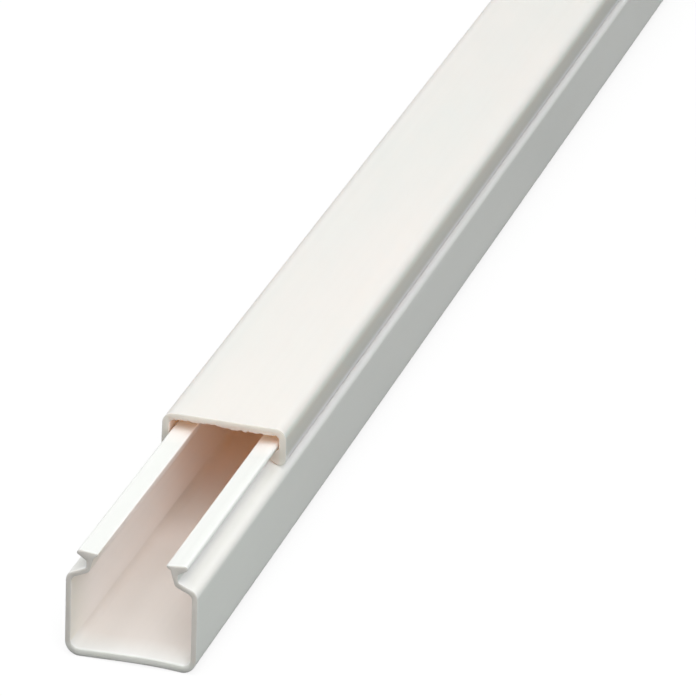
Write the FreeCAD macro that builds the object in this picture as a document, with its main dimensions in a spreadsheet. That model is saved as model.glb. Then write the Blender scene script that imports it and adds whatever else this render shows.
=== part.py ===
import FreeCAD, Part
import os

import Sketcher

# Cord cover raceway: a square plastic trunking for hiding cords on a wall or a skirting.
# Two extruded pieces, both constant in section along Y and cut to the same length: a base
# channel whose walls step in over a shoulder to a neck with an outward lip, and a C-shaped
# cover lid whose hooked legs clip under those lips and sit over the shoulders.
#
# Frame: millimetres, +Z up, +Y along the channel, origin in the middle of the flat back
# that goes against the wall. The lid is stored slid back, as a sample is usually shown.

# name: (value, what it is)
SIZES = {
    "stock_length": (400.0, "length that both pieces are cut to"),
    "channel_width": (20.0, "outside width over the two walls"),
    "overall_height": (19.8, "height over the closed lid"),
    "wall": (0.85, "side wall and shoulder thickness"),
    "floor": (1.2, "floor thickness"),
    "back_round": (2.2, "outside round between the back and a wall"),
    "floor_round": (1.2, "inside round between the floor and a wall"),
    "shoulder_slope": (23.5, "shoulder slope above level, degrees"),
    "shoulder_round": (1.5, "outside round of the shoulder"),
    "shoulder_inner_round": (1.1, "inside round of the shoulder"),
    "neck_inset": (3.05, "from a wall's outer face in to the neck's outer face"),
    "neck_height": (1.15, "neck's outer face, from the shoulder up to the lip's underside"),
    "neck_wall": (0.45, "neck thickness at its foot, before the inside round"),
    "neck_root_round": (0.5, "outside round between the shoulder and the neck"),
    "neck_inner_round": (1.0, "inside round between the shoulder and the neck"),
    "lip_headroom": (1.5, "from the lips' outer top corners up to the lid's underside"),
    "lip_width": (3.2, "lip, from its outer edge to its inner edge"),
    "lip_fall": (5.4, "fall of a lip's top face towards the middle, degrees"),
    "lip_edge": (0.7, "height of a lip's outer edge"),
    "lip_inner_edge": (0.35, "height of a lip's inner edge"),
    "lip_overhang": (0.6, "how far a lip's inner edge stands in from the neck"),
    "lip_slope": (33.0, "slope of a lip's underside above level, degrees"),
    "lip_round": (0.5, "round of a lip's top outer corner"),
    "lip_root_round": (0.25, "round between a lip's underside and the neck"),
    "lip_nose_round": (0.12, "round of a lip's lower outer corner"),
    "lid_inset": (0.1, "lid's outer face inside the wall's outer face, at its foot"),
    "lid_lean": (0.15, "how far the lid's sides lean in from the foot to the top"),
    "lid_top": (1.1, "lid's top thickness"),
    "lid_leg": (1.25, "lid's leg thickness"),
    "lid_round": (1.8, "outside round of the lid's top corners"),
    "lid_inner_round": (0.8, "inside round of the lid's top corners"),
    "foot_round": (1.0, "round under a leg's outer face"),
    "hook_round": (0.15, "rounds of a hook's tip"),
    "snap_gap": (0.25, "running gap between the lid's hooks and the base"),
    "lid_setback": (44.0, "how far the stored lid is slid along from closed"),
}

# Places that the two sections share, as expressions of the sheet's cells.
HALF = "Sizes.channel_width / 2"
SHOULDER_RISE = "tan(Sizes.shoulder_slope * 1 deg)"
SHOULDER_SLANT = "cos(Sizes.shoulder_slope * 1 deg)"
LIP_RISE = "tan(Sizes.lip_slope * 1 deg)"
WALL_INNER = f"({HALF} - Sizes.wall)"
NECK_OUTER = f"({HALF} - Sizes.neck_inset)"
NECK_INNER = f"({NECK_OUTER} - Sizes.neck_wall)"
LID_OUTER = f"({HALF} - Sizes.lid_inset)"
LEG_INNER = f"({LID_OUTER} - Sizes.lid_leg)"
LIP_OUTER = f"({LEG_INNER} - Sizes.snap_gap)"
LIP_INNER = f"({LIP_OUTER} - Sizes.lip_width)"
HOOK_TIP = f"({NECK_OUTER} + Sizes.snap_gap)"
LID_UNDERSIDE = "(Sizes.overall_height - Sizes.lid_top)"
LIP_TOP = f"({LID_UNDERSIDE} - Sizes.lip_headroom)"
LIP_NOSE = f"({LIP_TOP} - Sizes.lip_edge)"
LIP_INNER_TOP = f"({LIP_TOP} - Sizes.lip_width * tan(Sizes.lip_fall * 1 deg))"
LIP_INNER_NOSE = f"({LIP_INNER_TOP} - Sizes.lip_inner_edge)"
NECK_TOP_INNER = f"({LIP_INNER} + Sizes.lip_overhang)"
NECK_TOP = f"({LIP_INNER_NOSE} - Sizes.lip_overhang * {LIP_RISE})"


def lip_underside_at(x):
    """Height of a lip's sloping underside at a distance x from the middle plane."""
    return f"({LIP_NOSE} - ({LIP_OUTER} - {x}) * {LIP_RISE})"


NECK_ROOT = f"({lip_underside_at(NECK_OUTER)} - Sizes.neck_height)"


def shoulder_at(x):
    """Height of the shoulder's outer slope, which runs out and down from the neck's root."""
    return f"({NECK_ROOT} - ({x} - {NECK_OUTER}) * {SHOULDER_RISE})"


def shoulder_inside_at(x):
    """Height of the shoulder's inner slope, one wall thickness below the outer one."""
    return f"({shoulder_at(x)} - Sizes.wall / {SHOULDER_SLANT})"


def over_shoulder(x):
    """Height of the lid's foot and hook where they run over the shoulder."""
    return f"({shoulder_at(x)} + Sizes.snap_gap)"


def under_lip(x):
    """Height of the hook's upper face where it grips under the lip."""
    return f"({lip_underside_at(x)} - Sizes.snap_gap)"


# Half outlines, from the middle plane outwards and back to it. Each corner is its name,
# x, z and round, where "0" puts the corner on the axis and None leaves it sharp.
BASE_OUTLINE = [
    ("back_middle", "0", "0", None),
    ("back_corner", HALF, "0", "Sizes.back_round"),
    ("shoulder", HALF, shoulder_at(HALF), "Sizes.shoulder_round"),
    ("neck_root", NECK_OUTER, NECK_ROOT, "Sizes.neck_root_round"),
    ("lip_root", NECK_OUTER, lip_underside_at(NECK_OUTER), "Sizes.lip_root_round"),
    ("lip_nose", LIP_OUTER, LIP_NOSE, "Sizes.lip_nose_round"),
    ("lip_corner", LIP_OUTER, LIP_TOP, "min(Sizes.lip_round; Sizes.lip_edge * 0.67)"),
    ("lip_inside", LIP_INNER, LIP_INNER_TOP, None),
    ("lip_inside_nose", LIP_INNER, LIP_INNER_NOSE, None),
    ("neck_top_inside", NECK_TOP_INNER, NECK_TOP, "Sizes.lip_root_round"),
    ("neck_inside", NECK_INNER, shoulder_inside_at(NECK_INNER), "Sizes.neck_inner_round"),
    ("shoulder_inside", WALL_INNER, shoulder_inside_at(WALL_INNER), "Sizes.shoulder_inner_round"),
    ("floor_corner", WALL_INNER, "Sizes.floor", "Sizes.floor_round"),
    ("floor_middle", "0", "Sizes.floor", None),
]
LID_OUTLINE = [
    ("top_middle", "0", "Sizes.overall_height", None),
    ("top_corner", f"({LID_OUTER} - Sizes.lid_lean)", "Sizes.overall_height", "Sizes.lid_round"),
    ("foot", LID_OUTER, over_shoulder(LID_OUTER), "Sizes.foot_round"),
    ("hook_below", HOOK_TIP, over_shoulder(HOOK_TIP), "Sizes.hook_round"),
    ("hook_above", HOOK_TIP, under_lip(HOOK_TIP), "Sizes.hook_round"),
    ("hook_root", LEG_INNER, under_lip(LEG_INNER), None),
    ("inner_corner", LEG_INNER, LID_UNDERSIDE, "Sizes.lid_inner_round"),
    ("inner_middle", "0", LID_UNDERSIDE, None),
]

TOUCHING = 1e-6


def make_sheet(document):
    sheet = document.addObject("Spreadsheet::Sheet", "Sizes")
    for row, (alias, (value, meaning)) in enumerate(SIZES.items(), start=1):
        sheet.set(f"A{row}", alias)
        sheet.set(f"B{row}", str(value))
        sheet.setAlias(f"B{row}", alias)
        sheet.set(f"C{row}", meaning)
    document.recompute()
    return sheet


def origin_plane(body, role):
    return next(plane for plane in body.Origin.OriginFeatures if plane.Role == role)


def first_place(sheet, x, z):
    """Where a corner is drawn before its constraints are added."""
    return FreeCAD.Vector(float(sheet.evalExpression(x)), float(sheet.evalExpression(z)), 0)


def pin_corner(sketch, index, direction, label, expression, value):
    """Puts a corner on the sketch's axis, or at a distance from it that the sheet gives."""
    if expression == "0":
        axis = -2 if direction == "X" else -1
        sketch.addConstraint(Sketcher.Constraint("PointOnObject", index, 1, axis))
        return
    distance = Sketcher.Constraint("Distance" + direction, -1, 1, index, 1, value)
    sketch.renameConstraint(sketch.addConstraint(distance), label)
    sketch.setExpression(f"Constraints.{label}", expression)


def draw_outline(body, sheet, name, outline):
    """Closed half section on the body's XZ plane, every corner tied to the sheet."""
    sketch = body.newObject("Sketcher::SketchObject", name)
    sketch.AttachmentSupport = (origin_plane(body, "XZ_Plane"), "")
    sketch.MapMode = "FlatFace"
    places = [first_place(sheet, x, z) for _, x, z, _ in outline]
    count = len(outline)
    for index in range(count):
        side = Part.LineSegment(places[index], places[(index + 1) % count])
        sketch.addGeometry(side, False)
    for index in range(count):
        meeting = Sketcher.Constraint("Coincident", index, 2, (index + 1) % count, 1)
        sketch.addConstraint(meeting)
    for index, (corner, x, z, _) in enumerate(outline):
        pin_corner(sketch, index, "X", f"{corner}_x", x, places[index].x)
        pin_corner(sketch, index, "Y", f"{corner}_z", z, places[index].y)
    return sketch


def long_edges_at(shape, place):
    """Names of the lengthwise edges at a corner of the outline, one in each half."""
    names = []
    for number, edge in enumerate(shape.Edges, start=1):
        first, last = edge.Vertexes[0].Point, edge.Vertexes[-1].Point
        lengthwise = abs(first.x - last.x) + abs(first.z - last.z) < TOUCHING
        off_corner = abs(abs(first.x) - place.x) + abs(first.z - place.y)
        if lengthwise and off_corner < TOUCHING:
            names.append(f"Edge{number}")
    return names


def extrude(document, sheet, name, outline):
    """One extruded piece: half section padded, mirrored, then rounded corner by corner."""
    body = document.addObject("PartDesign::Body", name)
    body.Label = name
    sketch = draw_outline(body, sheet, f"{name}_section", outline)

    pad = body.newObject("PartDesign::Pad", f"{name}_half")
    pad.Profile = sketch
    pad.Midplane = True
    pad.setExpression("Length", "Sizes.stock_length")

    mirrored = body.newObject("PartDesign::Mirrored", f"{name}_both_halves")
    mirrored.Originals = [pad]
    mirrored.MirrorPlane = (origin_plane(body, "YZ_Plane"), [""])
    body.Tip = mirrored
    document.recompute()

    for index, (corner, _, _, radius) in enumerate(outline):
        if radius is None:
            continue
        sharp = body.Tip
        edges = long_edges_at(sharp.Shape, sketch.Geometry[index].StartPoint)
        rounded = body.newObject("PartDesign::Fillet", f"{name}_{corner}_round")
        rounded.Base = (sharp, edges)
        rounded.setExpression("Radius", radius)
        body.Tip = rounded
        document.recompute()
    return body


def check(document, bodies):
    for item in document.Objects:
        if "Invalid" in item.State or "Error" in item.State:
            raise RuntimeError(f"{item.Name} did not compute: {item.State}")
    for body in bodies:
        shape = body.Shape
        if shape.isNull() or not shape.isValid() or len(shape.Solids) != 1:
            raise RuntimeError(f"{body.Label} is not one valid solid")


def write(body):
    shape, box = body.Shape, body.Shape.BoundBox
    shape.exportStep(f"parts/{body.Label}.step")
    print(f"{body.Label}: {shape.Volume:.1f} mm3, {len(shape.Faces)} faces,",
          f"x {box.XMin:.2f} to {box.XMax:.2f}, y {box.YMin:.2f} to {box.YMax:.2f},",
          f"z {box.ZMin:.2f} to {box.ZMax:.2f}")


doc = FreeCAD.newDocument("cord_cover_raceway")
sizes = make_sheet(doc)

base = extrude(doc, sizes, "base_channel", BASE_OUTLINE)

lid = extrude(doc, sizes, "cover_lid", LID_OUTLINE)
lid.setExpression("Placement.Base.y", "Sizes.lid_setback")

doc.recompute()
pieces = [base, lid]
check(doc, pieces)
os.makedirs("parts", exist_ok=True)
for piece in pieces:
    write(piece)
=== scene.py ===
import math

import bmesh
import bpy
from mathutils import Matrix, Vector, noise


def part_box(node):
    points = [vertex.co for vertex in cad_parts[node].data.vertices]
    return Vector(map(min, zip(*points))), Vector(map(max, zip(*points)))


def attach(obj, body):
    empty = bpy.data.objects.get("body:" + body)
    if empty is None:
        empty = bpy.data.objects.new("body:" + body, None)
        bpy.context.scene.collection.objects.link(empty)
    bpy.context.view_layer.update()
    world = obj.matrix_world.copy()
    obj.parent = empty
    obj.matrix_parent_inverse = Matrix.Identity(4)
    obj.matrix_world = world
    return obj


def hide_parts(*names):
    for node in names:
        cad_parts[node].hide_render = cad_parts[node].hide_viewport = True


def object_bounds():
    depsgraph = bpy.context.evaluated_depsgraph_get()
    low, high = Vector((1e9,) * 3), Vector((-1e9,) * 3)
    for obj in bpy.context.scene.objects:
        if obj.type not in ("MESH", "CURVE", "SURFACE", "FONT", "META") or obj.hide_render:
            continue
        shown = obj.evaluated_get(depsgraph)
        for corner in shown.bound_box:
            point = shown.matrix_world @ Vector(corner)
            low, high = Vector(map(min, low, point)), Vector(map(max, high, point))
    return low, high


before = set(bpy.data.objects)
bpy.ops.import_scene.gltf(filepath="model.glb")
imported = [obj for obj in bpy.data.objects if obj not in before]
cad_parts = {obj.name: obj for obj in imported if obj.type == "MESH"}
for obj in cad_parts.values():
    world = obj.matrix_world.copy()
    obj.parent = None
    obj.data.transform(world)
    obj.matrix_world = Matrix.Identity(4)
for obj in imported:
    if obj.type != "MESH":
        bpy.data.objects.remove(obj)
cad_low, cad_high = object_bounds()
base_low, base_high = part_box("base_channel")
lid_low, lid_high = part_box("cover_lid")

MM = 0.001

# Section sizes in millimetres and radians, the same as the solids'.
CHANNEL_WIDTH = 20.0
OVERALL_HEIGHT = 19.8
WALL = 0.85
FLOOR = 1.2
BACK_ROUND = 2.2
FLOOR_ROUND = 1.2
SHOULDER_SLOPE = math.radians(23.5)
SHOULDER_ROUND = 1.5
SHOULDER_INNER_ROUND = 1.1
NECK_INSET = 3.05
NECK_HEIGHT = 1.15
NECK_WALL = 0.45
NECK_ROOT_ROUND = 0.5
NECK_INNER_ROUND = 1.0
LIP_HEADROOM = 1.5
LIP_WIDTH = 3.2
LIP_FALL = math.radians(5.4)
LIP_EDGE = 0.7
LIP_INNER_EDGE = 0.35
LIP_OVERHANG = 0.6
LIP_SLOPE = math.radians(33.0)
LIP_ROUND = 0.469
LIP_ROOT_ROUND = 0.25
LIP_NOSE_ROUND = 0.12
LID_INSET = 0.1
LID_LEAN = 0.15
LID_TOP = 1.1
LID_LEG = 1.25
LID_ROUND = 1.8
LID_INNER_ROUND = 0.8
FOOT_ROUND = 1.0
HOOK_ROUND = 0.15
SNAP_GAP = 0.25

# What only the look has, in millimetres: broken arrises, the bow of the back, marks of the saw, waves.
ARRIS = 0.08
BACK_BOW = 0.23
BACK_BOW_SKEW = 0.6
BACK_BOW_HALF_WIDTH = 7.8
CUT_BREAK = 0.07
BASE_TOP_BREAK = 0.25
LID_TOP_BREAK = 0.06
CUT_RAGGED = 0.05
LID_BURR = 0.16
LID_TORN = 0.3
LID_TORN_FINE = 0.45
LONG_WAVE = 0.02

# Fineness of the meshes.
ARC_STEP = math.radians(9)
LONGEST_CHORD = 0.2
RING_SPACING = 5.0
CUT_STEPS = 3

# Colours of the base, in linear light, from the outside in.
BASE_OUTSIDE = (0.74, 0.775, 0.74)
LIPS = (0.765, 0.78, 0.755)
# Painted light on the lips just outside the lid's edge, in place of the lid's shade.
LIPS_PAINTED_LIGHT_BY_LID = (0.90, 0.895, 0.87)
# Painted light: the shoulders paler than the walls, palest along the lid and at the neck's root under the
# lip.
SHOULDER_PAINTED_LIGHT = (0.81, 0.81, 0.78)
SHOULDER_PAINTED_LIGHT_BY_LID = (0.89, 0.92, 0.90)
NECK_ROOT_PAINTED_LIGHT = (0.97, 0.965, 0.945)
# Painted warm light on the channel's inner walls and the lid's underside, and on the floor low down under
# the lid.
INSIDE_PAINTED_WARM_LIGHT = (0.91, 0.87, 0.845)
WALL_END = (0.82, 0.80, 0.74)
# Painted shade on the floor: greyest in its middle and right across it just past the lid's edge, lighter
# along the walls.
INSIDE_FLOOR_PAINTED_SHADE = (0.765, 0.73, 0.695)
FLOOR_BY_WALL_PAINTED_SHADE = (0.84, 0.80, 0.765)
FLOOR_END = (0.83, 0.845, 0.83)
BASE_SAWN = (0.71, 0.69, 0.65)
# Painted light: the floor's sawn faces paler than the walls'.
FLOOR_SAWN_PAINTED_LIGHT = (0.79, 0.80, 0.76)

# Colours of the lid, and of the light that passes through it.
LID_OUTSIDE = (0.84, 0.97, 0.985)
# Painted shade down the lid's sides, and painted light at its feet.
LID_SIDE_PAINTED_SHADE = (0.64, 0.80, 0.79)
LID_FOOT_PAINTED_LIGHT = (0.95, 0.965, 0.955)
LID_SAWN = (0.75, 0.72, 0.66)
# Painted warm shade on the lid's sawn ends near the hollow.
LID_SAWN_PAINTED_WARM_SHADE = (0.735, 0.655, 0.585)
THROUGH = (1.0, 0.64, 0.36)
LID_PASSING = 0.25
LID_PASSING_BELOW = 0.34
SCATTER_RADIUS = 0.8

# Camera: a long lens from the right front, worked out from the edges in the photo.
VIEW_AZIMUTH = math.radians(15.369)
VIEW_ELEVATION = math.radians(24.030)
VIEW_ROLL = math.radians(2.183)
VIEW_PLACE = Vector((31.619, 45.860, 811.615)) * MM
LENS = 289.52

# Studio: strength of the even white surround, and place and watts of each softbox.
SURROUND = 0.567
SOFTBOX_SIDE = 0.8
SOFTBOX_AIM = (0, -0.15, 0)
SOFTBOXES = (
    ("softbox_over", (0.0, -0.2, 1.1), 2.5),
    ("softbox_right", (0.42, -0.42, 0.42), 1.1),
    ("softbox_left", (-0.8, -0.2, 0.8), 1.3),
    ("softbox_front", (0.3, -0.95, 0.9), 4.9),
    ("softbox_back", (0.0, 0.7, 0.85), 2.4),
)

HALF = CHANNEL_WIDTH / 2
WALL_INNER = HALF - WALL
NECK_OUTER = HALF - NECK_INSET
NECK_INNER = NECK_OUTER - NECK_WALL
LID_OUTER = HALF - LID_INSET
LEG_INNER = LID_OUTER - LID_LEG
LIP_OUTER = LEG_INNER - SNAP_GAP
LIP_INNER = LIP_OUTER - LIP_WIDTH
HOOK_TIP = NECK_OUTER + SNAP_GAP
LID_UNDERSIDE = OVERALL_HEIGHT - LID_TOP
LIP_TOP = LID_UNDERSIDE - LIP_HEADROOM
LIP_NOSE = LIP_TOP - LIP_EDGE
LIP_INNER_TOP = LIP_TOP - LIP_WIDTH * math.tan(LIP_FALL)
LIP_INNER_NOSE = LIP_INNER_TOP - LIP_INNER_EDGE
NECK_TOP_INNER = LIP_INNER + LIP_OVERHANG
NECK_TOP = LIP_INNER_NOSE - LIP_OVERHANG * math.tan(LIP_SLOPE)


def lip_underside_at(x):
    return LIP_NOSE - (LIP_OUTER - x) * math.tan(LIP_SLOPE)


NECK_ROOT = lip_underside_at(NECK_OUTER) - NECK_HEIGHT


def shoulder_at(x):
    return NECK_ROOT - (x - NECK_OUTER) * math.tan(SHOULDER_SLOPE)


def shoulder_inside_at(x):
    return shoulder_at(x) - WALL / math.cos(SHOULDER_SLOPE)


# Half outlines of the two sections: x, z and round of each corner.
BASE_HALF = [
    (0, 0, 0),
    (HALF, 0, BACK_ROUND),
    (HALF, shoulder_at(HALF), SHOULDER_ROUND),
    (NECK_OUTER, NECK_ROOT, NECK_ROOT_ROUND),
    (NECK_OUTER, lip_underside_at(NECK_OUTER), LIP_ROOT_ROUND),
    (LIP_OUTER, LIP_NOSE, LIP_NOSE_ROUND),
    (LIP_OUTER, LIP_TOP, LIP_ROUND),
    (LIP_INNER, LIP_INNER_TOP, ARRIS),
    (LIP_INNER, LIP_INNER_NOSE, ARRIS),
    (NECK_TOP_INNER, NECK_TOP, LIP_ROOT_ROUND),
    (NECK_INNER, shoulder_inside_at(NECK_INNER), NECK_INNER_ROUND),
    (WALL_INNER, shoulder_inside_at(WALL_INNER), SHOULDER_INNER_ROUND),
    (WALL_INNER, FLOOR, FLOOR_ROUND),
    (0, FLOOR, 0),
]
LID_HALF = [
    (0, OVERALL_HEIGHT, 0),
    (LID_OUTER - LID_LEAN, OVERALL_HEIGHT, LID_ROUND),
    (LID_OUTER, shoulder_at(LID_OUTER) + SNAP_GAP, FOOT_ROUND),
    (HOOK_TIP, shoulder_at(HOOK_TIP) + SNAP_GAP, HOOK_ROUND),
    (HOOK_TIP, lip_underside_at(HOOK_TIP) - SNAP_GAP, HOOK_ROUND),
    (LEG_INNER, lip_underside_at(LEG_INNER) - SNAP_GAP, ARRIS),
    (LEG_INNER, LID_UNDERSIDE, LID_INNER_ROUND),
    (0, LID_UNDERSIDE, 0),
]


def corner_arc(before, corner, after):
    """Points of the round at one corner of an outline, or the corner itself."""
    here = Vector(corner[:2])
    radius = corner[2]
    if radius == 0:
        return [here]
    back = (Vector(before[:2]) - here).normalized()
    ahead = (Vector(after[:2]) - here).normalized()
    between = back.angle(ahead)
    centre = here + (back + ahead).normalized() * radius / math.sin(between / 2)
    first = here + back * radius / math.tan(between / 2) - centre
    turn = math.pi - between
    if back.cross(ahead) > 0:
        turn = -turn
    steps = max(2, math.ceil(abs(turn) / ARC_STEP))
    points = []
    for step in range(steps + 1):
        angle = turn * step / steps
        c, s = math.cos(angle), math.sin(angle)
        points.append(centre + Vector((first.x * c - first.y * s, first.x * s + first.y * c)))
    return points


def full_outline(half):
    """Rounded half outline and its mirror image, as one closed loop of close points."""
    corners = []
    for index, corner in enumerate(half):
        corners += corner_arc(half[index - 1], corner, half[(index + 1) % len(half)])
    points = [corners[0]]
    for here in corners[1:]:
        last = points[-1]
        parts = max(1, math.ceil((here - last).length / LONGEST_CHORD))
        points += [last.lerp(here, part / parts) for part in range(1, parts + 1)]
    mirrored = [Vector((-p.x, p.y)) for p in reversed(points) if p.x > 1e-9]
    return points + mirrored


def outward_normals(outline):
    count = len(outline)
    area = sum(outline[i - 1].cross(outline[i]) for i in range(count))
    side = 1 if area > 0 else -1
    normals = []
    for i in range(count):
        along = (outline[(i + 1) % count] - outline[i - 1]).normalized()
        normals.append(Vector((along.y, -along.x)) * side)
    return normals


def as_is(point):
    return point


def bowed(point):
    """Lifts the back and the floor a little, most right of the middle, as the extrusion has cooled."""
    if point.y > FLOOR + 0.8 or abs(point.x) > BACK_BOW_HALF_WIDTH:
        return point
    across = point.x / BACK_BOW_HALF_WIDTH
    lift = BACK_BOW * (1 - across ** 2) * (1 + BACK_BOW_SKEW * across)
    return Vector((point.x, point.y + lift))


def wavy(point, normal, y, seed):
    """Sinks the long faces by a few hundredths, in slow waves along the length."""
    wave = noise.noise(Vector((point.x * 0.12, y * 0.03, point.y * 0.12 + seed)))
    return point - normal * LONG_WAVE * (0.5 + 0.5 * wave)


def rough(x, z, scale, seed):
    """Unevenness of a saw cut, from 0 to 1."""
    return 0.5 + 0.5 * noise.noise(Vector((x * scale, z * scale, seed)))


def no_burr(_, __):
    return 0.0


def lid_burr(point, seed):
    """Under the lid the saw left swarf hanging right of the middle and tore bits away all along."""
    if abs(point.y - LID_UNDERSIDE) > 0.3 or abs(point.x) > LEG_INNER - LID_INNER_ROUND:
        return 0.0
    hanging = LID_BURR * max(-0.2, min(0.85, (point.x + 1.5) / 3))
    torn = LID_TORN * (rough(point.x, point.y, 1.1, seed + 21) - 0.5)
    fine = LID_TORN_FINE * (rough(point.x, point.y, 3.6, seed + 22) - 0.5)
    return hanging + torn + fine


def cut_rings(outline, normals, seed, top_break, burr):
    """Rings of one sawn end, from its flat face inwards, each a list of depths and points."""
    rings = [[] for _ in range(CUT_STEPS + 1)]
    for point, normal in zip(outline, normals):
        fine = rough(point.x, point.y, 1.9, seed)
        coarse = rough(point.x, point.y, 0.5, seed + 9)
        broken = CUT_BREAK + (top_break - CUT_BREAK) * max(0.0, normal.y)
        inset = broken * (0.5 + fine)
        depth = CUT_RAGGED * fine + broken * (0.5 + 0.5 * coarse)
        left_hanging = normal * burr(point, seed)
        for step, ring in enumerate(rings):
            turn = math.pi / 2 * step / CUT_STEPS
            sunk = normal * inset * (1 - math.sin(turn))
            ring.append((depth * (1 - math.cos(turn)), point - sunk + left_hanging))
    return rings


def rings_along(outline, near, far, seed, top_break, burr):
    """Rings of points with their y, from the sawn near end to the sawn far end."""
    normals = outward_normals(outline)
    rings = []
    for ring in cut_rings(outline, normals, seed, top_break, burr):
        rings.append([(p, near + depth) for depth, p in ring])
    inner_near, inner_far = near + 0.5, far - 0.5
    spans = math.ceil((inner_far - inner_near) / RING_SPACING)
    for span in range(spans + 1):
        y = inner_near + (inner_far - inner_near) * span / spans
        rings.append([(wavy(p, n, y, seed), y) for p, n in zip(outline, normals)])
    for ring in reversed(cut_rings(outline, normals, seed + 40, top_break, burr)):
        rings.append([(p, far - depth) for depth, p in ring])
    return rings


def extruded(name, rings, shape):
    """Object whose faces join the rings, closed by a flat face at each end."""
    made = bmesh.new()
    loops = []
    for ring in rings:
        loop = []
        for point, y in ring:
            placed = shape(point)
            loop.append(made.verts.new((placed.x * MM, y * MM, placed.y * MM)))
        loops.append(loop)
    count = len(loops[0])
    for lower, upper in zip(loops, loops[1:]):
        for i in range(count):
            j = (i + 1) % count
            made.faces.new((lower[i], lower[j], upper[j], upper[i]))
    for face in made.faces:
        face.smooth = True
    made.faces.new(reversed(loops[0]))
    made.faces.new(loops[-1])
    bmesh.ops.recalc_face_normals(made, faces=made.faces)
    mesh = bpy.data.meshes.new(name)
    made.to_mesh(mesh)
    made.free()
    mesh.set_sharp_from_angle(angle=math.radians(35))
    piece = bpy.data.objects.new(name, mesh)
    bpy.context.collection.objects.link(piece)
    return piece


def rgba(colour):
    return (*colour, 1.0)


class Nodes:
    """Short way to write a material's nodes."""

    def __init__(self, name):
        self.material = bpy.data.materials.new(name)
        self.material.use_nodes = True
        self.tree = self.material.node_tree
        self.shader = self.tree.nodes["Principled BSDF"]
        self.output = self.tree.nodes["Material Output"]

    def add(self, kind, **settings):
        node = self.tree.nodes.new(kind)
        for key, value in settings.items():
            setattr(node, key, value)
        return node

    def plug(self, source, socket):
        if hasattr(source, "is_output"):
            self.tree.links.new(source, socket)
        else:
            socket.default_value = source

    def math(self, operation, *values):
        node = self.add("ShaderNodeMath", operation=operation)
        for socket, value in zip(node.inputs, values):
            self.plug(value, socket)
        return node.outputs[0]

    def times(self, first, second):
        return self.math("MULTIPLY", first, second)

    def size_of(self, value):
        return self.math("ABSOLUTE", value)

    def ramp(self, value, low, high, to_low=0.0, to_high=1.0):
        node = self.add("ShaderNodeMapRange", clamp=True)
        for socket, part in zip(node.inputs, (value, low, high, to_low, to_high)):
            self.plug(part, socket)
        return node.outputs[0]

    def blend(self, factor, first, second):
        """First colour where the factor is 0 and second where it is 1."""
        node = self.add("ShaderNodeMix", data_type="RGBA")
        self.plug(factor, node.inputs[0])
        for socket, colour in ((node.inputs[6], first), (node.inputs[7], second)):
            self.plug(rgba(colour) if isinstance(colour, tuple) else colour, socket)
        return node.outputs[2]

    def noise(self, scale, detail, stretch=(1, 1, 1)):
        place = self.add("ShaderNodeTexCoord").outputs["Object"]
        mapping = self.add("ShaderNodeMapping")
        self.plug(place, mapping.inputs["Vector"])
        mapping.inputs["Scale"].default_value = stretch
        node = self.add("ShaderNodeTexNoise")
        self.plug(mapping.outputs[0], node.inputs["Vector"])
        node.inputs["Scale"].default_value = scale
        node.inputs["Detail"].default_value = detail
        return node.outputs[0]

    def split(self, vector):
        node = self.add("ShaderNodeSeparateXYZ")
        self.plug(vector, node.inputs[0])
        return node.outputs


def facing_in(nodes, place, normal):
    """1 on the faces that look towards the middle plane."""
    outward = nodes.times(nodes.math("SIGN", place[0]), normal[0])
    return nodes.ramp(outward, -0.35, -0.15, 1.0, 0.0)


def inside_colour(nodes, place, floor_top):
    """Warm white with painted warm light, lighter low down under the lid; the floor greyer with painted
    shade in the open and right across just past the lid's edge, paler along the walls and at its ends.
    """
    x, y, z = place
    lid_edge = lid_low[1]
    floor_end = nodes.ramp(nodes.size_of(y), base_high[1] - 6 * MM, base_high[1])
    wall_end = nodes.ramp(nodes.size_of(y), base_high[1] - 10 * MM, base_high[1])
    painted_light_under_lid = nodes.ramp(y, lid_edge - 10 * MM, lid_edge + 5 * MM)
    low_down = nodes.ramp(z, 9 * MM, 2 * MM)
    by_wall = nodes.ramp(nodes.size_of(x), 5 * MM, 8.5 * MM)
    painted_shade_past_lid_edge = nodes.times(
        nodes.ramp(y, lid_edge - 6 * MM, lid_edge + 3 * MM),
        nodes.ramp(y, lid_edge + 10 * MM, lid_edge + 24 * MM, 1.0, 0.0))

    floor = nodes.blend(by_wall, INSIDE_FLOOR_PAINTED_SHADE, FLOOR_BY_WALL_PAINTED_SHADE)
    wall = nodes.blend(wall_end, INSIDE_PAINTED_WARM_LIGHT, WALL_END)
    colour = nodes.blend(floor_top, wall, floor)
    colour = nodes.blend(nodes.times(painted_light_under_lid, low_down), colour, INSIDE_PAINTED_WARM_LIGHT)
    colour = nodes.blend(nodes.times(painted_shade_past_lid_edge, floor_top), colour, INSIDE_FLOOR_PAINTED_SHADE)
    return nodes.blend(nodes.times(floor_end, floor_top), colour, FLOOR_END)


def shoulder_painted_light(nodes, place):
    """Painted light: pale, palest at the neck's root under the lip and along the lid."""
    x, y, _ = place
    painted_light_beside_lid = nodes.ramp(y, lid_low[1] - 2 * MM, lid_low[1] + 2 * MM)
    painted_light_by_neck = nodes.ramp(nodes.size_of(x), 7.2 * MM, 8.5 * MM, 1.0, 0.0)
    return nodes.blend(painted_light_by_neck, nodes.blend(painted_light_beside_lid, SHOULDER_PAINTED_LIGHT, SHOULDER_PAINTED_LIGHT_BY_LID), NECK_ROOT_PAINTED_LIGHT)


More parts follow.
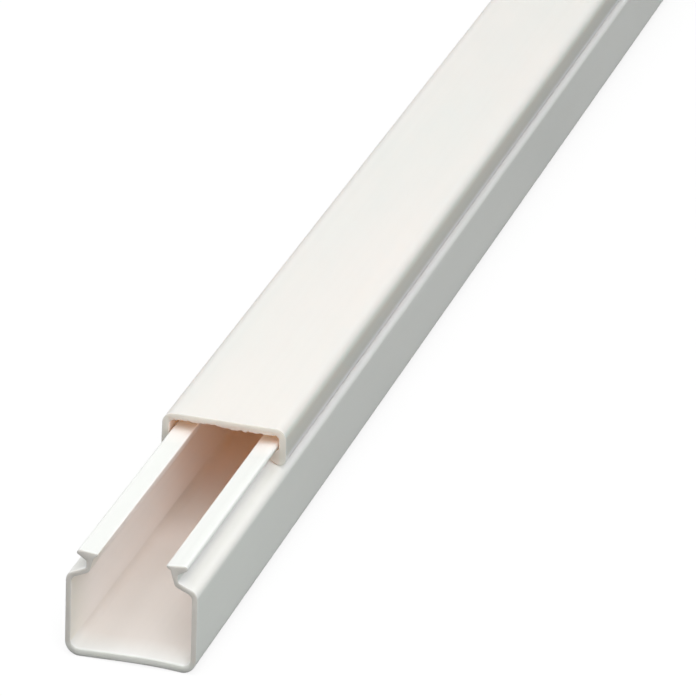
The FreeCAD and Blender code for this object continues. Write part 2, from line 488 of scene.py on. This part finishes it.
def lip_colour(nodes, place):
    """White, and palest just outside the lid's edge, where painted light stands in for the lid's shade.
    """
    y = place[1]
    painted_light_near_lid = nodes.ramp(y, lid_low[1] - 5 * MM, lid_low[1] - 1 * MM)
    under_lid = nodes.ramp(y, lid_low[1], lid_low[1] + 2 * MM)
    return nodes.blend(under_lid, nodes.blend(painted_light_near_lid, LIPS, LIPS_PAINTED_LIGHT_BY_LID), LIPS)


def channel_faces(nodes, place, normal):
    """Colour of the base's long faces."""
    z = place[2]
    facing_up = nodes.ramp(normal[2], 0.1, 0.3)
    floor_top = nodes.times(nodes.ramp(z, 2.6 * MM, 3.0 * MM, 1.0, 0.0), facing_up)
    on_lips = nodes.ramp(z, 15.0 * MM, 15.3 * MM)
    on_shoulder = nodes.times(nodes.math("SUBTRACT", 1.0, on_lips), nodes.ramp(normal[2], 0.05, 0.55))
    outer = nodes.blend(on_shoulder, BASE_OUTSIDE, shoulder_painted_light(nodes, place))
    outer = nodes.blend(nodes.times(on_lips, facing_up), outer, lip_colour(nodes, place))
    inner_faces = nodes.math("MAXIMUM", facing_in(nodes, place, normal), floor_top)
    return nodes.blend(inner_faces, outer, inside_colour(nodes, place, floor_top))


def channel_cut(nodes, place):
    """Colour of the base's sawn ends: palest along the floor, with painted light."""
    return nodes.blend(nodes.ramp(place[2], 1.2 * MM, 2.2 * MM), FLOOR_SAWN_PAINTED_LIGHT, BASE_SAWN)


def at_foot(nodes, place):
    """1 at the feet of the lid's legs, outside the hooks, where no light passes through."""
    low_down = nodes.ramp(place[2], 15.6 * MM, 14.9 * MM)
    return nodes.times(low_down, nodes.ramp(nodes.size_of(place[0]), 8.8 * MM, 9.0 * MM))


def lid_faces(nodes, place, normal):
    """Colour of the lid's long faces: greyer down its sides with painted shade, pale at the foot with
    painted light, warmer underneath with painted warm light.
    """
    outermost = nodes.ramp(nodes.size_of(place[0]), 9.3 * MM, 9.6 * MM)
    side = nodes.times(outermost, nodes.ramp(nodes.size_of(normal[0]), 0.6, 0.95))
    side = nodes.times(side, nodes.ramp(place[2], 14.7 * MM, 15.9 * MM))
    underside = nodes.ramp(normal[2], -0.3, -0.1, 1.0, 0.0)
    inner_faces = nodes.math("MAXIMUM", facing_in(nodes, place, normal), underside)
    colour = nodes.blend(inner_faces, nodes.blend(side, LID_OUTSIDE, LID_SIDE_PAINTED_SHADE), INSIDE_PAINTED_WARM_LIGHT)
    return nodes.blend(at_foot(nodes, place), colour, LID_FOOT_PAINTED_LIGHT)


def lid_cut(nodes, place):
    """Colour of the lid's sawn ends: grey outside, and warm near the hollow with painted warm shade."""
    below = nodes.ramp(place[2], 19.3 * MM, 18.9 * MM)
    between = nodes.ramp(nodes.size_of(place[0]), 9.0 * MM, 8.6 * MM)
    return nodes.blend(nodes.times(below, between), LID_SAWN, LID_SAWN_PAINTED_WARM_SHADE)


def plastic(name, face_colour, cut_colour, passing, passing_below):
    """White PVC: satin extruded faces, rough sawn ends, and shares of the light that pass through."""
    nodes = Nodes(name)
    shader = nodes.shader
    coordinates = nodes.add("ShaderNodeTexCoord")
    place = nodes.split(coordinates.outputs["Object"])
    normal = nodes.split(coordinates.outputs["Normal"])
    cut = nodes.ramp(nodes.size_of(normal[1]), 0.5, 0.8)

    cloud = nodes.noise(60, 3, (1, 0.25, 1))
    streak = nodes.noise(900, 2, (1, 0.006, 1))
    grain = nodes.noise(9000, 2)
    saw_lines = nodes.noise(5200, 2, (0.12, 1, 1))

    tone = nodes.times(nodes.ramp(cloud, 0.3, 0.7, 0.975, 1.02), nodes.ramp(streak, 0.3, 0.7, 0.99, 1.01))
    toned = nodes.add("ShaderNodeVectorMath", operation="SCALE")
    colour = nodes.blend(cut, face_colour(nodes, place, normal), cut_colour(nodes, place))
    nodes.plug(colour, toned.inputs[0])
    nodes.plug(tone, toned.inputs["Scale"])
    nodes.plug(toned.outputs[0], shader.inputs["Base Color"])

    satin = nodes.ramp(streak, 0.25, 0.75, 0.38, 0.5)
    nodes.plug(nodes.math("ADD", satin, nodes.times(cut, 0.22)), shader.inputs["Roughness"])

    height = nodes.math("ADD", nodes.times(streak, 0.5), nodes.times(grain, 0.15))
    height = nodes.math("ADD", height, nodes.times(nodes.times(saw_lines, cut), 2.0))
    bump = nodes.add("ShaderNodeBump")
    bump.inputs["Strength"].default_value = 0.35
    bump.inputs["Distance"].default_value = 0.02 * MM
    nodes.plug(height, bump.inputs["Height"])
    nodes.plug(bump.outputs[0], shader.inputs["Normal"])

    shader.inputs["Subsurface Weight"].default_value = 1.0
    shader.inputs["Subsurface Radius"].default_value = (SCATTER_RADIUS,) * 3
    shader.inputs["Subsurface Scale"].default_value = MM

    through = nodes.add("ShaderNodeBsdfTranslucent")
    nodes.plug(rgba(THROUGH), through.inputs["Color"])
    share = nodes.ramp(normal[2], -0.3, -0.1, passing_below, passing)
    share = nodes.times(share, nodes.math("SUBTRACT", 1.0, at_foot(nodes, place)))
    mixed = nodes.add("ShaderNodeMixShader")
    nodes.plug(nodes.times(share, nodes.math("SUBTRACT", 1.0, cut)), mixed.inputs[0])
    nodes.plug(shader.outputs[0], mixed.inputs[1])
    nodes.plug(through.outputs[0], mixed.inputs[2])
    nodes.plug(mixed.outputs[0], nodes.output.inputs["Surface"])
    return nodes.material


def make_base():
    rings = rings_along(
        full_outline(BASE_HALF), base_low[1] / MM, base_high[1] / MM, 3.0, BASE_TOP_BREAK, no_burr)
    base = extruded("base_channel_dressed", rings, bowed)
    base.data.materials.append(plastic("base_pvc", channel_faces, channel_cut, 0.0, 0.0))
    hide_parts("base_channel")
    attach(base, "base")


def make_lid():
    rings = rings_along(
        full_outline(LID_HALF), lid_low[1] / MM, lid_high[1] / MM, 5.0, LID_TOP_BREAK, lid_burr)
    lid = extruded("cover_lid_dressed", rings, as_is)
    lid.data.materials.append(plastic("lid_pvc", lid_faces, lid_cut, LID_PASSING, LID_PASSING_BELOW))
    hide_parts("cover_lid")
    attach(lid, "lid")


def make_camera(front_y):
    back = Vector((
        math.sin(VIEW_AZIMUTH) * math.cos(VIEW_ELEVATION),
        -math.cos(VIEW_AZIMUTH) * math.cos(VIEW_ELEVATION),
        math.sin(VIEW_ELEVATION),
    ))
    right = Vector((0, 0, 1)).cross(back).normalized()
    up = back.cross(right)
    c, s = math.cos(VIEW_ROLL), math.sin(VIEW_ROLL)
    right, up = right * c + up * s, up * c - right * s
    turned = Matrix((right, up, back)).transposed()
    place = Vector((0, front_y, 0)) + turned @ VIEW_PLACE
    camera = bpy.data.objects.new("camera", bpy.data.cameras.new("camera"))
    bpy.context.collection.objects.link(camera)
    camera.matrix_world = Matrix.Translation(place) @ turned.to_4x4()
    camera.data.lens = LENS
    camera.data.sensor_width = 36
    camera.data.clip_start = 0.01
    bpy.context.scene.camera = camera


def make_floor(level):
    """Pale studio floor: white to the eye, with the object's soft shadow left on it."""
    reach = 4.0
    mesh = bpy.data.meshes.new("studio_floor")
    corners = [(-reach, -reach, 0), (reach, -reach, 0), (reach, reach, 0), (-reach, reach, 0)]
    mesh.from_pydata(corners, [], [(0, 1, 2, 3)])
    floor = bpy.data.objects.new("studio_floor", mesh)
    bpy.context.collection.objects.link(floor)
    floor.location.z = level

    nodes = Nodes("studio_floor")
    rays = nodes.add("ShaderNodeLightPath")
    seen = nodes.math("MAXIMUM", rays.outputs["Is Camera Ray"], rays.outputs["Is Glossy Ray"])
    seen = nodes.math("MAXIMUM", seen, rays.outputs["Is Transmission Ray"])
    shaded = nodes.add("ShaderNodeBsdfDiffuse")
    nodes.plug(nodes.blend(seen, (0.02, 0.02, 0.02), (1, 1, 1)), shaded.inputs["Color"])
    white = nodes.add("ShaderNodeEmission")
    white.inputs["Strength"].default_value = 1.0
    mixed = nodes.add("ShaderNodeMixShader")
    nodes.plug(nodes.times(seen, 0.85), mixed.inputs[0])
    nodes.plug(shaded.outputs[0], mixed.inputs[1])
    nodes.plug(white.outputs[0], mixed.inputs[2])
    nodes.plug(mixed.outputs[0], nodes.output.inputs["Surface"])
    mesh.materials.append(nodes.material)


def make_world(strength):
    world = bpy.data.worlds.new("studio")
    bpy.context.scene.world = world
    world.use_nodes = True
    background = world.node_tree.nodes["Background"]
    background.inputs["Color"].default_value = (1, 1, 1, 1)
    background.inputs["Strength"].default_value = strength


def make_softbox(name, place, watts):
    light = bpy.data.lights.new(name, "AREA")
    light.shape = "RECTANGLE"
    light.size = SOFTBOX_SIDE
    light.size_y = SOFTBOX_SIDE
    light.energy = watts
    lamp = bpy.data.objects.new(name, light)
    bpy.context.collection.objects.link(lamp)
    lamp.location = place
    aim = Vector(SOFTBOX_AIM) - Vector(place)
    lamp.rotation_euler = aim.to_track_quat("-Z", "Y").to_euler()


make_base()
make_lid()
make_camera(base_low[1])
make_floor(cad_low[2] - 0.1 * MM)
make_world(SURROUND)
for softbox in SOFTBOXES:
    make_softbox(*softbox)

scene = bpy.context.scene
scene.cycles.max_bounces = 24
scene.cycles.diffuse_bounces = 16
scene.view_settings.view_transform = "Standard"
